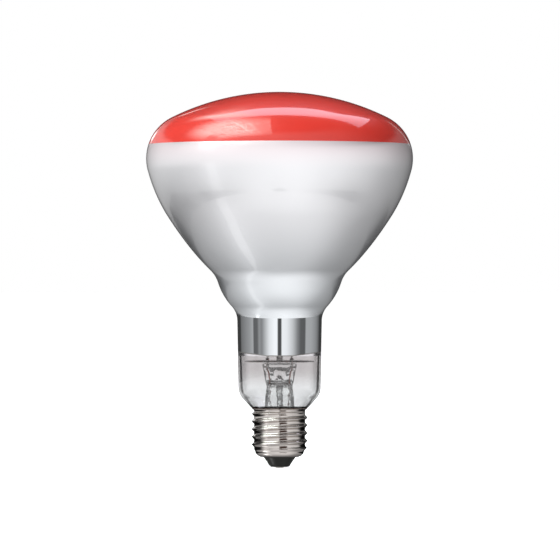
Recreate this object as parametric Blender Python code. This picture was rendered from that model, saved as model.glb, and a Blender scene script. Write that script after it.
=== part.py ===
"""Infrared reflector heat lamp with a screw cap, as separate pieces.

The lamp stands on its centre contact: the origin is the contact's lowest point, +Z runs up the axis
to the middle of the red front, and the wide face of the pinch looks along -Y. Every outline is
worked out from the driving dimensions below, in metres.
"""

import math

import bmesh
import bpy
from mathutils import Vector

MM = 0.001

# --- driving dimensions ------------------------------------------------------------------------

# Envelope
OVERALL_LENGTH = 176.0 * MM      # contact tip to the middle of the front
BULB_DIAMETER = 125.0 * MM       # largest diameter of the bowl
GLASS_WALL = 1.0 * MM
CROWN_RADIUS = 113.0 * MM        # spherical front
SHOULDER_RADIUS = 21.5 * MM      # rounding between the front and the bowl
BOWL_FOCAL_LENGTH = 16.8 * MM    # paraboloid of the bowl
BOWL_MEETS_INSIDE = 10.5 * MM    # the paraboloid ends this far inside the largest radius ...
BOWL_MEETS_BELOW = 27.7 * MM     # ... and this far below it
SHOULDER_RUNS_DOWN = 17.0        # degrees that the shoulder's arc runs on below the largest radius
HEEL_RADIUS = 30.3 * MM          # spherical heel between the bowl and the neck
HEEL_ABOVE_FOCUS = 2.3 * MM      # its centre above the paraboloid's focus
HEEL_FILLET = 10.0 * MM
KINK_WIDTH = 1.0 * MM            # of the soft step between the heel and the bowl
NECK_RADIUS_TOP = 19.8 * MM
NECK_RADIUS_BOTTOM = 19.25 * MM
NECK_CONE_ANGLE = 41.8           # degrees off the axis, from the neck down to the cap
NECK_CORNER_RADIUS = 8.0 * MM
STUB_INSIDE_THREAD = 1.4 * MM    # the neck's stub in the cap, in from the thread's root
STUB_LENGTH = 5.3 * MM           # below the cap's rim
SEAT_OVERHANG = 0.2 * MM         # of the cone over the cap's rim
SEAT_DROP = 0.75 * MM            # from the cone's foot down to the top of the stub

# Coatings, inside the glass
COATING = 0.25 * MM
MIRROR_ABOVE_RIM = 24.6 * MM     # the mirror's lower edge above the cap's rim
FRONT_ABOVE_SHOULDER = 6.6 * MM  # the mirror's upper edge above the largest diameter

# Stem
PINCH_ABOVE_RIM = 20.9 * MM      # top of the pinch above the cap's rim
PINCH_HEIGHT = 8.9 * MM
PINCH_WIDTH_TOP = 16.2 * MM
PINCH_WIDTH_BOTTOM = 13.2 * MM
PINCH_THICKNESS = 4.6 * MM
PINCH_BLEND = 2.0 * MM           # height in which the round tube turns flat
PINCH_EDGE = 0.5 * MM            # softened edge along the pinch's top
FLARE_RADIUS = 6.1 * MM          # flare tube just under the pinch
FLARE_WALL = 0.9 * MM
FLARE_SKIRT = 1.9 * MM           # the tube widens by this down to its lip
FLARE_LIP = 1.5 * MM             # height of the lip that opens to the neck stub
EXHAUST_RADIUS = 1.6 * MM
EXHAUST_WALL = 0.5 * MM
EXHAUST_BELOW_STUB = 4.6 * MM
ARBOR_RADIUS = 1.5 * MM
BUTTON_RADIUS = 2.7 * MM
BUTTON_BELOW_FOCUS = 5.5 * MM

# Heat shield
SHIELD_DIAMETER = 32.7 * MM
SHIELD_THICKNESS = 0.3 * MM
SHIELD_ABOVE_PINCH = 0.8 * MM
FERRULE_RADIUS = 1.15 * MM
FERRULE_HEIGHT = 1.9 * MM

# Wires and filament
LEAD_SPACING = 11.4 * MM         # between the inner leads, at the pinch
SEAL_SPACING = 8.8 * MM          # between the outer leads, under the pinch
INNER_LEAD_RADIUS = 0.45 * MM
LEAD_BOW = 1.0 * MM              # the inner leads bow out by this half way up
LEAD_UPRIGHT = 6.0 * MM          # their straight end under the filament
SEAL_WIRE_RADIUS = 0.3 * MM
OUTER_LEAD_RADIUS = 0.25 * MM
OUTER_LEAD_DRAWS_IN = 0.7 * MM   # towards the axis, from the pinch to the cap's rim
CONTACT_LEAD_BEND = 2.6 * MM     # off the axis, just below the neck stub
RIM_LEAD_BEND = 8.6 * MM         # off the axis, where it passes under the neck stub
RIM_LEAD_DROP = 1.5 * MM         # and how far below the stub
SUPPORT_WIRE_RADIUS = 0.25 * MM
SUPPORTS = 5
SUPPORT_BEND = 9.8 * MM          # off the axis, where a support turns up to the filament
SUPPORT_BEND_RISE = 1.2 * MM
FILAMENT_RING_RADIUS = 14.0 * MM
FILAMENT_COIL_RADIUS = 0.9 * MM
FILAMENT_OPENING = 44.0          # degrees left open, towards -Y

# Screw cap
CAP_HEIGHT = 27.9 * MM           # contact tip to the rim
CAP_SHEET = 0.3 * MM
THREAD_ROOT = 12.0 * MM
THREAD_DEPTH = 1.05 * MM         # from the root out to the crest
STUB_RADIUS = THREAD_ROOT - STUB_INSIDE_THREAD
THREAD_PITCH = 3.629 * MM        # 7 turns to the inch
THREAD_PHASE = 1.80 * MM         # a crest's height at +X, counted from the contact tip
THREAD_BOTTOM = 8.2 * MM
THREAD_BELOW_RIM = 1.8 * MM
THREAD_FADE = 2.0 * MM           # height in which the thread runs out at either end
THREAD_ROWS = 5                  # rows of facets to a turn of the thread
COLLAR_RADIUS = THREAD_ROOT + 0.3 * MM
RIM_RADIUS = THREAD_ROOT + 1.2 * MM
RIM_HEIGHT = 0.6 * MM
SHELL_MOUTH_RADIUS = 7.7 * MM    # opening at the bottom of the shell
SHELL_MOUTH_Z = 5.0 * MM

# Insulator and contact
INSULATOR_FACE_RADIUS = 4.1 * MM
INSULATOR_FACE_Z = 0.5 * MM
INSULATOR_EDGE_RADIUS = 4.8 * MM
INSULATOR_EDGE_Z = 1.0 * MM
INSULATOR_DEPTH = 4.0 * MM       # above the shell's mouth, inside the shell
INSULATOR_WALL = 1.5 * MM        # rim of the dished top, inside the shell
WIRE_HOLE_RADIUS = 1.2 * MM
PLATE_RADIUS = 3.2 * MM
PLATE_THICKNESS = 0.4 * MM
SOLDER_RADIUS = 2.15 * MM
SOLDER_FLAT_RADIUS = 1.2 * MM
RIM_SOLDER_RADIUS = 0.8 * MM
RIM_SOLDER_ANGLE = 60.0          # degrees from +X towards +Y
CEMENT_BELOW_RIM = 1.7 * MM
CEMENT_OPENING = 16.0            # degrees of the cement ring left open for the rim's lead

# Fits
FIT_GAP = 0.3 * MM               # between any two pieces that touch
SKIN_GAP = 0.2 * MM              # between a coating and its glass
SEGMENTS = 32                    # around the large turned pieces
FINE_SEGMENTS = 16               # around the small ones

# --- places that follow from them --------------------------------------------------------------

BULB_RADIUS = BULB_DIAMETER / 2
CROWN_CENTRE_Z = OVERALL_LENGTH - CROWN_RADIUS
SHOULDER_CENTRE_R = BULB_RADIUS - SHOULDER_RADIUS
SHOULDER_Z = CROWN_CENTRE_Z + math.sqrt((CROWN_RADIUS - SHOULDER_RADIUS) ** 2 - SHOULDER_CENTRE_R ** 2)
BOWL_END_R = BULB_RADIUS - BOWL_MEETS_INSIDE
BOWL_END_Z = SHOULDER_Z - BOWL_MEETS_BELOW
BOWL_VERTEX_Z = BOWL_END_Z - BOWL_END_R ** 2 / (4 * BOWL_FOCAL_LENGTH)
FOCUS_Z = BOWL_VERTEX_Z + BOWL_FOCAL_LENGTH
HEEL_Z = FOCUS_Z + HEEL_ABOVE_FOCUS
FRONT_EDGE_Z = SHOULDER_Z + FRONT_ABOVE_SHOULDER
MIRROR_EDGE_Z = CAP_HEIGHT + MIRROR_ABOVE_RIM
STUB_BOTTOM_Z = CAP_HEIGHT - STUB_LENGTH
PINCH_TOP_Z = CAP_HEIGHT + PINCH_ABOVE_RIM
PINCH_BOTTOM_Z = PINCH_TOP_Z - PINCH_HEIGHT
SHIELD_Z = PINCH_TOP_Z + SHIELD_ABOVE_PINCH
BUTTON_Z = FOCUS_Z - BUTTON_BELOW_FOCUS
SOLDER_TOP_Z = INSULATOR_FACE_Z
PLATE_Z = SOLDER_TOP_Z + FIT_GAP


# --- outlines: lists of (radius, height) -------------------------------------------------------

def arc(centre_r, centre_z, radius, start, end, steps):
    """Points on an arc, with angles in degrees from +R towards +Z."""
    angles = [math.radians(start + (end - start) * i / steps) for i in range(steps + 1)]
    return [(centre_r + radius * math.cos(a), centre_z + radius * math.sin(a)) for a in angles]


def neck_outline():
    """The stub in the cap, its seat over the rim, the cone and the neck's lower corner."""
    slope = math.radians(NECK_CONE_ANGLE)
    seat_r, seat_z = RIM_RADIUS + SEAT_OVERHANG, CAP_HEIGHT + FIT_GAP
    # the corner's arc is tangent to the upright neck and to the cone through the seat
    centre_r = NECK_RADIUS_BOTTOM - NECK_CORNER_RADIUS
    touch_r = centre_r + NECK_CORNER_RADIUS * math.cos(slope)
    touch_z = seat_z + (touch_r - seat_r) / math.tan(slope)
    centre_z = touch_z + NECK_CORNER_RADIUS * math.sin(slope)
    stub = [(STUB_RADIUS, STUB_BOTTOM_Z), (STUB_RADIUS, seat_z - SEAT_DROP), (seat_r, seat_z)]
    return stub + arc(centre_r, centre_z, NECK_CORNER_RADIUS, -NECK_CONE_ANGLE, 0, 6)


def heel_outline():
    """The fillet out of the neck and the spherical heel, up to the kink under the bowl."""
    fillet_r = NECK_RADIUS_TOP + HEEL_FILLET
    reach = HEEL_RADIUS + HEEL_FILLET
    fillet_z = HEEL_Z - math.sqrt(reach ** 2 - fillet_r ** 2)
    touch = math.degrees(math.acos(fillet_r / reach))
    kink_z = heel_kink_z()
    kink = math.degrees(math.asin((kink_z - HEEL_Z) / HEEL_RADIUS))
    fillet = arc(fillet_r, fillet_z, HEEL_FILLET, 180, 180 - touch, 3)
    return fillet + arc(0, HEEL_Z, HEEL_RADIUS, -touch, kink, 3)[1:]


def heel_kink_z():
    """Height where the heel's sphere meets the bowl's paraboloid."""
    width = 4 * BOWL_FOCAL_LENGTH
    half = HEEL_Z - width / 2
    rest = HEEL_Z ** 2 - HEEL_RADIUS ** 2 - width * BOWL_VERTEX_Z
    return half + math.sqrt(half ** 2 - rest)


def bowl_outline(steps=4):
    """The paraboloid from just above the kink to where it bends into the shoulder."""
    start_r = math.sqrt(4 * BOWL_FOCAL_LENGTH * (heel_kink_z() - BOWL_VERTEX_Z)) + KINK_WIDTH
    radii = [start_r + (BOWL_END_R - start_r) * i / steps for i in range(steps + 1)]
    return [(r, BOWL_VERTEX_Z + r * r / (4 * BOWL_FOCAL_LENGTH)) for r in radii]


def shoulder_outline():
    """The rounding over the largest diameter, up to where it touches the crown."""
    top = math.degrees(math.atan2(SHOULDER_Z - CROWN_CENTRE_Z, SHOULDER_CENTRE_R))
    return arc(SHOULDER_CENTRE_R, SHOULDER_Z, SHOULDER_RADIUS, -SHOULDER_RUNS_DOWN, top, 5)


def blend(start, before, end, after, steps=4):
    """Points of a cubic curve between two outlines, without its ends."""
    reach = math.dist(start, end) / 3
    leave = [s + (s - b) * reach / math.dist(before, start) for s, b in zip(start, before)]
    arrive = [e - (a - e) * reach / math.dist(end, after) for e, a in zip(end, after)]
    points = []
    for i in range(1, steps):
        t = i / steps
        weights = ((1 - t) ** 3, 3 * t * (1 - t) ** 2, 3 * t * t * (1 - t), t ** 3)
        knots = (start, leave, arrive, end)
        points.append(tuple(sum(w * k[axis] for w, k in zip(weights, knots)) for axis in (0, 1)))
    return points


def envelope_outline():
    """The glass's outer outline, from the stub in the cap up to the middle of the front."""
    bowl = bowl_outline()
    shoulder = shoulder_outline()
    bend = blend(bowl[-1], bowl[-2], shoulder[0], shoulder[1])
    touch = math.degrees(math.atan2(SHOULDER_Z - CROWN_CENTRE_Z, SHOULDER_CENTRE_R))
    crown = arc(0, CROWN_CENTRE_Z, CROWN_RADIUS, touch, 90, 4)[1:]
    crown[-1] = (0.0, OVERALL_LENGTH)
    return neck_outline() + heel_outline() + bowl + bend + shoulder + crown


def inset(outline, depth):
    """The outline moved square to itself, towards the axis and the inside of the bulb."""
    moved = []
    for i, (r, z) in enumerate(outline):
        before = outline[max(i - 1, 0)]
        after = outline[min(i + 1, len(outline) - 1)]
        into = Vector((r - before[0], z - before[1]))
        out = Vector((after[0] - r, after[1] - z))
        into = into.normalized() if into.length else out.normalized()
        out = out.normalized() if out.length else into
        along = (into + out).normalized()
        mitre = depth / max(along.dot(into), 0.5)
        moved.append((r - along.y * mitre, z + along.x * mitre))
    if outline[-1][0] == 0.0:
        moved[-1] = (0.0, outline[-1][1] - depth)
    return moved


def between(outline, low, high):
    """The stretch of a rising outline between two heights, with a point on each."""
    ends = []
    for level in (low, high):
        for (r0, z0), (r1, z1) in zip(outline, outline[1:]):
            if z0 <= level <= z1 and z1 > z0:
                share = (level - z0) / (z1 - z0)
                ends.append((r0 + (r1 - r0) * share, level))
                break
        else:
            ends.append(outline[-1])
    middle = [p for p in outline if low + FIT_GAP < p[1] < min(high, outline[-1][1]) - FIT_GAP]
    return [ends[0]] + middle + [ends[1]]


# --- building ----------------------------------------------------------------------------------

def principled(name, colour, roughness, metallic=0.0, transmission=0.0):
    """A plain material for one piece."""
    material = bpy.data.materials.new(name)
    material.use_nodes = True
    shader = material.node_tree.nodes["Principled BSDF"]
    shader.inputs["Base Color"].default_value = (*colour, 1.0)
    shader.inputs["Roughness"].default_value = roughness
    shader.inputs["Metallic"].default_value = metallic
    shader.inputs["Transmission Weight"].default_value = transmission
    material.diffuse_color = (*colour, 1.0)
    return material


def add_mesh(name, bm, material, sharp=35.0):
    """Close a bmesh into a named object, smooth but for its sharp edges."""
    bmesh.ops.remove_doubles(bm, verts=bm.verts, dist=0.005 * MM)
    bmesh.ops.recalc_face_normals(bm, faces=bm.faces)
    mesh = bpy.data.meshes.new(name)
    bm.to_mesh(mesh)
    bm.free()
    mesh.shade_smooth()
    mesh.set_sharp_from_angle(angle=math.radians(sharp))
    mesh.materials.append(material)
    obj = bpy.data.objects.new(name, mesh)
    bpy.context.scene.collection.objects.link(obj)
    return obj


def turned(name, outline, material, closed=True, segments=SEGMENTS):
    """Spin an outline about the axis. An open outline starts and ends on the axis."""
    bm = bmesh.new()
    verts = [bm.verts.new((r, 0.0, z)) for r, z in outline]
    pairs = list(zip(verts, verts[1:]))
    if closed:
        pairs.append((verts[-1], verts[0]))
    edges = [bm.edges.new(pair) for pair in pairs]
    bmesh.ops.spin(bm, geom=verts + edges, cent=(0, 0, 0), axis=(0, 0, 1), angle=math.tau,
                   steps=segments, use_merge=True)
    return add_mesh(name, bm, material)


def skinned(name, rings, material, closed=False):
    """Join rings of equal length into one skin; close it on itself or fill its two ends."""
    bm = bmesh.new()
    loops = [[bm.verts.new(point) for point in ring] for ring in rings]
    pairs = list(zip(loops, loops[1:]))
    if closed:
        pairs.append((loops[-1], loops[0]))
    else:
        bm.faces.new(loops[0])
        bm.faces.new(loops[-1])
    for low, high in pairs:
        for i in range(len(low)):
            j = (i + 1) % len(low)
            bm.faces.new((low[i], low[j], high[j], high[i]))
    return add_mesh(name, bm, material)


def wire(name, points, radius, material, steps=4):
    """A round wire along a smooth curve through the points, with filled ends."""
    curve = bpy.data.curves.new(name, "CURVE")
    curve.dimensions = "3D"
    curve.bevel_depth = radius
    curve.bevel_resolution = 1
    curve.use_fill_caps = True
    curve.resolution_u = steps
    curve.render_resolution_u = steps
    spline = curve.splines.new("BEZIER")
    spline.bezier_points.add(len(points) - 1)
    for knot, point in zip(spline.bezier_points, points):
        knot.co = point
        knot.handle_left_type = "AUTO"
        knot.handle_right_type = "AUTO"
    curve.materials.append(material)
    obj = bpy.data.objects.new(name, curve)
    bpy.context.scene.collection.objects.link(obj)
    return obj


def drill(obj, name, x, radius, low, high):
    """Cut an upright hole through a piece with a Boolean modifier."""
    bm = bmesh.new()
    bmesh.ops.create_cone(bm, cap_ends=True, segments=12, radius1=radius, radius2=radius,
                          depth=high - low)
    cutter = add_mesh(name, bm, obj.data.materials[0])
    cutter.location = (x, 0.0, (low + high) / 2)
    cutter.hide_render = True
    cutter.display_type = "WIRE"
    modifier = obj.modifiers.new(name, "BOOLEAN")
    modifier.operation = "DIFFERENCE"
    modifier.solver = "EXACT"
    modifier.object = cutter


# --- glass and coatings ------------------------------------------------------------------------

def add_envelope():
    """The blown bulb, open at the foot of its neck."""
    outer = envelope_outline()
    inner = inset(outer, GLASS_WALL)
    inner[0] = (inner[0][0], outer[0][1])
    glass = principled("clear_glass", (0.9, 0.92, 0.93), 0.03, transmission=1.0)
    turned("glass_envelope", outer + inner[::-1], glass)


def coating_outline(low, high):
    """Closed section of a coating laid inside the glass between two heights."""
    glass = envelope_outline()
    back = between(inset(glass, GLASS_WALL + SKIN_GAP), low, high)
    face = between(inset(glass, GLASS_WALL + SKIN_GAP + COATING), low, high)
    return back + face[::-1]


def add_reflector():
    """The mirror inside the bowl and the upper neck."""
    mirror = principled("aluminium_mirror", (0.83, 0.84, 0.86), 0.2, metallic=1.0)
    turned("reflector_coating", coating_outline(MIRROR_EDGE_Z, FRONT_EDGE_Z), mirror)


def add_red_filter():
    """The red layer over the front, from the mirror's edge to the axis."""
    red = principled("red_filter", (0.62, 0.04, 0.03), 0.25)
    section = coating_outline(FRONT_EDGE_Z + FIT_GAP, OVERALL_LENGTH)
    turned("red_filter_coating", section, red)


def superellipse(half_x, half_y, power, z):
    """A ring that goes from an ellipse (power 1) to a rounded rectangle (power near 0)."""
    ring = []
    for i in range(SEGMENTS):
        angle = math.tau * i / SEGMENTS
        c, s = math.cos(angle), math.sin(angle)
        x = half_x * math.copysign(abs(c) ** power, c)
        y = half_y * math.copysign(abs(s) ** power, s)
        ring.append((x, y, z))
    return ring


def add_stem_flare(glass):
    """The flare tube, open below, with its top pressed into the flat pinch."""
    lip_r = STUB_RADIUS - GLASS_WALL - FIT_GAP
    half_y = PINCH_THICKNESS / 2
    skirt_r = FLARE_RADIUS + FLARE_SKIRT
    outside = [
        (lip_r, lip_r, 1.0, STUB_BOTTOM_Z),
        (skirt_r, skirt_r, 1.0, STUB_BOTTOM_Z + FLARE_LIP),
        (FLARE_RADIUS, FLARE_RADIUS, 1.0, PINCH_BOTTOM_Z - PINCH_BLEND),
        (PINCH_WIDTH_BOTTOM / 2, half_y, 0.5, PINCH_BOTTOM_Z),
        (PINCH_WIDTH_TOP / 2, half_y, 0.4, PINCH_TOP_Z - PINCH_EDGE),
        (PINCH_WIDTH_TOP / 2 - PINCH_EDGE, half_y - PINCH_EDGE, 0.4, PINCH_TOP_Z),
    ]
    inside = [(x - FLARE_WALL, y - FLARE_WALL, p, z) for x, y, p, z in outside[:3]]
    inside.append((FLARE_RADIUS - FLARE_WALL, half_y - FLARE_WALL, 0.8, PINCH_BOTTOM_Z - FLARE_WALL))
    rings = [superellipse(*row) for row in inside[::-1] + outside]
    flare = skinned("stem_flare", rings, glass)
    for side in (-1, 1):
        drill(flare, f"seal_hole_{side + 1}", side * SEAL_SPACING / 2,
              SEAL_WIRE_RADIUS + FIT_GAP, PINCH_BOTTOM_Z - PINCH_BLEND, PINCH_TOP_Z + PINCH_BLEND)


def add_exhaust_tube(glass):
    """The thin tube inside the flare, open above and drawn to a closed tip below."""
    outer_r, bore_r = EXHAUST_RADIUS, EXHAUST_RADIUS - EXHAUST_WALL
    top = PINCH_BOTTOM_Z - PINCH_BLEND
    tip = STUB_BOTTOM_Z - EXHAUST_BELOW_STUB
    shoulder = tip + 1.5 * EXHAUST_RADIUS
    outline = [
        (0.0, tip), (0.4 * outer_r, tip + 0.2 * outer_r), (outer_r, shoulder), (outer_r, top),
        (bore_r, top), (bore_r, shoulder), (0.0, shoulder - bore_r),
    ]
    turned("exhaust_tube", outline, glass, closed=False, segments=FINE_SEGMENTS)


def add_arbor(glass):
    """The glass rod on the pinch, with the button that holds the supports."""
    foot = PINCH_TOP_Z + FIT_GAP
    join = math.acos(ARBOR_RADIUS / BUTTON_RADIUS)
    button = arc(0, BUTTON_Z, BUTTON_RADIUS, -math.degrees(join), 90, 5)
    button[-1] = (0.0, BUTTON_Z + BUTTON_RADIUS)
    outline = [(0.0, foot), (ARBOR_RADIUS, foot)] + button
    turned("arbor_rod", outline, glass, closed=False, segments=FINE_SEGMENTS)


# --- heat shield -------------------------------------------------------------------------------

def add_heat_shield():
    """The disc across the neck, with holes for the arbor and the two ferrules."""
    metal = principled("shield_metal", (0.55, 0.55, 0.56), 0.4, metallic=1.0)
    low, high = SHIELD_Z, SHIELD_Z + SHIELD_THICKNESS
    inner, outer = ARBOR_RADIUS + FIT_GAP, SHIELD_DIAMETER / 2
    disc = turned("heat_shield", [(inner, low), (outer, low), (outer, high), (inner, high)], metal)
    for side in (-1, 1):
        drill(disc, f"ferrule_hole_{side + 1}", side * LEAD_SPACING / 2,
              FERRULE_RADIUS + FIT_GAP, low - SHIELD_THICKNESS, high + SHIELD_THICKNESS)


def add_ferrules():
    """The two eyelets that carry the leads through the disc."""
    metal = principled("ferrule_metal", (0.6, 0.58, 0.55), 0.35, metallic=1.0)
    bore = INNER_LEAD_RADIUS + FIT_GAP
    low = SHIELD_Z + SHIELD_THICKNESS / 2 - FERRULE_HEIGHT / 4
    high = low + FERRULE_HEIGHT
    for side, name in ((-1, "disc_ferrule_left"), (1, "disc_ferrule_right")):
        section = [(bore, low), (FERRULE_RADIUS, low), (FERRULE_RADIUS, high), (bore, high)]
        ferrule = turned(name, section, metal, segments=FINE_SEGMENTS)
        ferrule.location.x = side * LEAD_SPACING / 2


# --- wires and filament ------------------------------------------------------------------------

def ring_point(angle, radius, z):
    """A point on a circle about the axis, with its angle in degrees from +X."""
    turn = math.radians(angle)
    return (radius * math.cos(turn), radius * math.sin(turn), z)


def add_seal_wires():
    """The copper-clad wires sealed in the pinch."""
    metal = principled("dumet", (0.6, 0.3, 0.2), 0.4, metallic=1.0)
    for side, name in ((-1, "seal_wire_left"), (1, "seal_wire_right")):
        x = side * SEAL_SPACING / 2
        ends = [(x, 0, PINCH_BOTTOM_Z - FIT_GAP), (x, 0, PINCH_TOP_Z - FIT_GAP)]
        wire(name, ends, SEAL_WIRE_RADIUS, metal, steps=1)


def add_inner_leads():
    """The stiff leads from the pinch, through the disc, to the filament's two ends."""
    metal = principled("nickel_wire", (0.6, 0.59, 0.57), 0.3, metallic=1.0)
    end_z = FOCUS_Z - FILAMENT_COIL_RADIUS - FIT_GAP - SUPPORT_WIRE_RADIUS
    for side, name in ((-1, "inner_lead_left"), (1, "inner_lead_right")):
        x = side * LEAD_SPACING / 2
        end = ring_point(-90 + side * FILAMENT_OPENING / 2, FILAMENT_RING_RADIUS, end_z)
        middle_z = (SHIELD_Z + end_z) / 2
        middle = (x + side * LEAD_BOW, end[1] / 2, middle_z)
        straight = (x, 0, SHIELD_Z + 2 * FERRULE_HEIGHT)
        upright = (end[0], end[1], end_z - LEAD_UPRIGHT)
        points = [(x, 0, PINCH_TOP_Z + FIT_GAP), straight, middle, upright, end]
        wire(name, points, INNER_LEAD_RADIUS, metal)


def add_outer_leads():
    """The thin leads from the pinch: one to the centre contact, one to the cap's rim."""
    metal = principled("copper_wire", (0.65, 0.36, 0.24), 0.35, metallic=1.0)
    x = SEAL_SPACING / 2
    drawn_x = x - OUTER_LEAD_DRAWS_IN
    top = PINCH_BOTTOM_Z - PINCH_BLEND
    contact_z = PLATE_Z + PLATE_THICKNESS + FIT_GAP
    below_tip = STUB_BOTTOM_Z - EXHAUST_BELOW_STUB - 2 * FIT_GAP
    contact = [
        (-x, 0, top), (-drawn_x, 0, CAP_HEIGHT), (-CONTACT_LEAD_BEND, 0, below_tip),
        (0, 0, SHELL_MOUTH_Z + INSULATOR_DEPTH / 2), (0, 0, contact_z),
    ]
    wire("outer_lead_contact", contact, OUTER_LEAD_RADIUS, metal)
    rise_r = STUB_RADIUS + FIT_GAP + OUTER_LEAD_RADIUS
    angle = RIM_SOLDER_ANGLE
    rim = [
        (x, 0, top), (drawn_x, 0, CAP_HEIGHT),
        ring_point(angle / 2, x, STUB_BOTTOM_Z),
        ring_point(angle, RIM_LEAD_BEND, STUB_BOTTOM_Z - RIM_LEAD_DROP),
        ring_point(angle, rise_r, STUB_BOTTOM_Z),
        ring_point(angle, rise_r, CAP_HEIGHT - CEMENT_BELOW_RIM),
    ]
    wire("outer_lead_rim", rim, OUTER_LEAD_RADIUS, metal)


def add_supports():
    """The thin hooks that reach from the button to the filament."""
    metal = principled("molybdenum_wire", (0.45, 0.45, 0.46), 0.4, metallic=1.0)
    under = FOCUS_Z - FILAMENT_COIL_RADIUS - FIT_GAP - SUPPORT_WIRE_RADIUS
    step = 360 / (SUPPORTS + 1)
    for number in range(1, SUPPORTS + 1):
        angle = -90 + number * step
        points = [
            ring_point(angle, BUTTON_RADIUS + FIT_GAP, BUTTON_Z),
            ring_point(angle, SUPPORT_BEND, BUTTON_Z + SUPPORT_BEND_RISE),
            ring_point(angle, FILAMENT_RING_RADIUS, under),
        ]
        wire(f"support_wire_{number}", points, SUPPORT_WIRE_RADIUS, metal, steps=3)


def add_filament():
    """The coil's outer shape, bent to an open ring about the focus."""
    metal = principled("tungsten", (0.3, 0.3, 0.31), 0.5, metallic=1.0)
    start = -90 + FILAMENT_OPENING / 2
    sweep = 360 - FILAMENT_OPENING
    count = 12
    points = [ring_point(start + sweep * i / count, FILAMENT_RING_RADIUS, FOCUS_Z)
              for i in range(count + 1)]
    wire("filament", points, FILAMENT_COIL_RADIUS, metal, steps=2)


# --- screw cap ---------------------------------------------------------------------------------

def thread_lift(angle, z, top):
    """How far the rolled thread stands out at one point of the shell."""
    rise = min((z - THREAD_BOTTOM) / THREAD_FADE, (top - z) / THREAD_FADE, 1.0)
    if rise <= 0:
        return 0.0
    wave = 0.5 + 0.5 * math.cos(math.tau * (z - THREAD_PHASE) / THREAD_PITCH - angle)
    return THREAD_DEPTH * wave * rise


def shell_rows():
    """Radius and height down the middle of the threaded wall, from the mouth to the rim."""
    wide = THREAD_ROOT - SHELL_MOUTH_RADIUS
    high = THREAD_BOTTOM - SHELL_MOUTH_Z
    quarter = arc(0, 0, 1, -90, 0, 4)
    rows = [(SHELL_MOUTH_RADIUS + wide * r, THREAD_BOTTOM + high * z) for r, z in quarter]
    top = CAP_HEIGHT - THREAD_BELOW_RIM
    count = math.ceil((top - THREAD_BOTTOM) * THREAD_ROWS / THREAD_PITCH)
    for i in range(1, count + 1):
        rows.append((THREAD_ROOT, THREAD_BOTTOM + (top - THREAD_BOTTOM) * i / count))
    rows.append((COLLAR_RADIUS, top + COLLAR_RADIUS - THREAD_ROOT))
    rows.append((COLLAR_RADIUS, CAP_HEIGHT - RIM_HEIGHT))
    rows.append((RIM_RADIUS, CAP_HEIGHT))
    return rows


def add_cap_shell():
    """The thin threaded shell, open at its rim and at its mouth."""
    metal = principled("nickel_plate", (0.72, 0.69, 0.66), 0.25, metallic=1.0)
    top = CAP_HEIGHT - THREAD_BELOW_RIM
    rows = shell_rows()
    inner_rows = inset(rows, CAP_SHEET)
    inner_rows[0] = (rows[0][0], rows[0][1] + CAP_SHEET)
    inner_rows[-1] = (rows[-1][0] - CAP_SHEET, rows[-1][1])

    def ring(r, z, level):
        angles = [math.tau * i / SEGMENTS for i in range(SEGMENTS)]
        return [((r + thread_lift(a, level, top)) * math.cos(a),
                 (r + thread_lift(a, level, top)) * math.sin(a), z) for a in angles]

    outside = [ring(r, z, z) for r, z in rows]
    inside = [ring(r, z, level) for (r, z), (_, level) in zip(inner_rows, rows)]
    skinned("cap_shell", outside + inside[::-1], metal, closed=True)


def add_insulator():
    """The black glass cone under the shell, with the part that fills the shell's foot."""
    glass = principled("black_glass", (0.012, 0.012, 0.01), 0.15)
    top = SHELL_MOUTH_Z + INSULATOR_DEPTH
    throat_r = SHELL_MOUTH_RADIUS - FIT_GAP
    throat_z = SHELL_MOUTH_Z + CAP_SHEET + FIT_GAP
    fill_r = THREAD_ROOT - CAP_SHEET - FIT_GAP
    dish_r, dish_z = (fill_r + WIRE_HOLE_RADIUS) / 2, SHELL_MOUTH_Z + INSULATOR_DEPTH / 4
    pocket_r = PLATE_RADIUS + FIT_GAP
    pocket_top = PLATE_Z + PLATE_THICKNESS + FIT_GAP
    outline = [
        (pocket_r, INSULATOR_FACE_Z), (INSULATOR_FACE_RADIUS, INSULATOR_FACE_Z),
        (INSULATOR_EDGE_RADIUS, INSULATOR_EDGE_Z), (throat_r, SHELL_MOUTH_Z - FIT_GAP),
        (throat_r, throat_z), (fill_r - INSULATOR_WALL, THREAD_BOTTOM), (fill_r, THREAD_BOTTOM),
        (fill_r, top), (fill_r - INSULATOR_WALL, top), (dish_r, dish_z),
        (WIRE_HOLE_RADIUS, dish_z), (WIRE_HOLE_RADIUS, pocket_top), (pocket_r, pocket_top),
    ]
    turned("cap_insulator", outline, glass)


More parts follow.
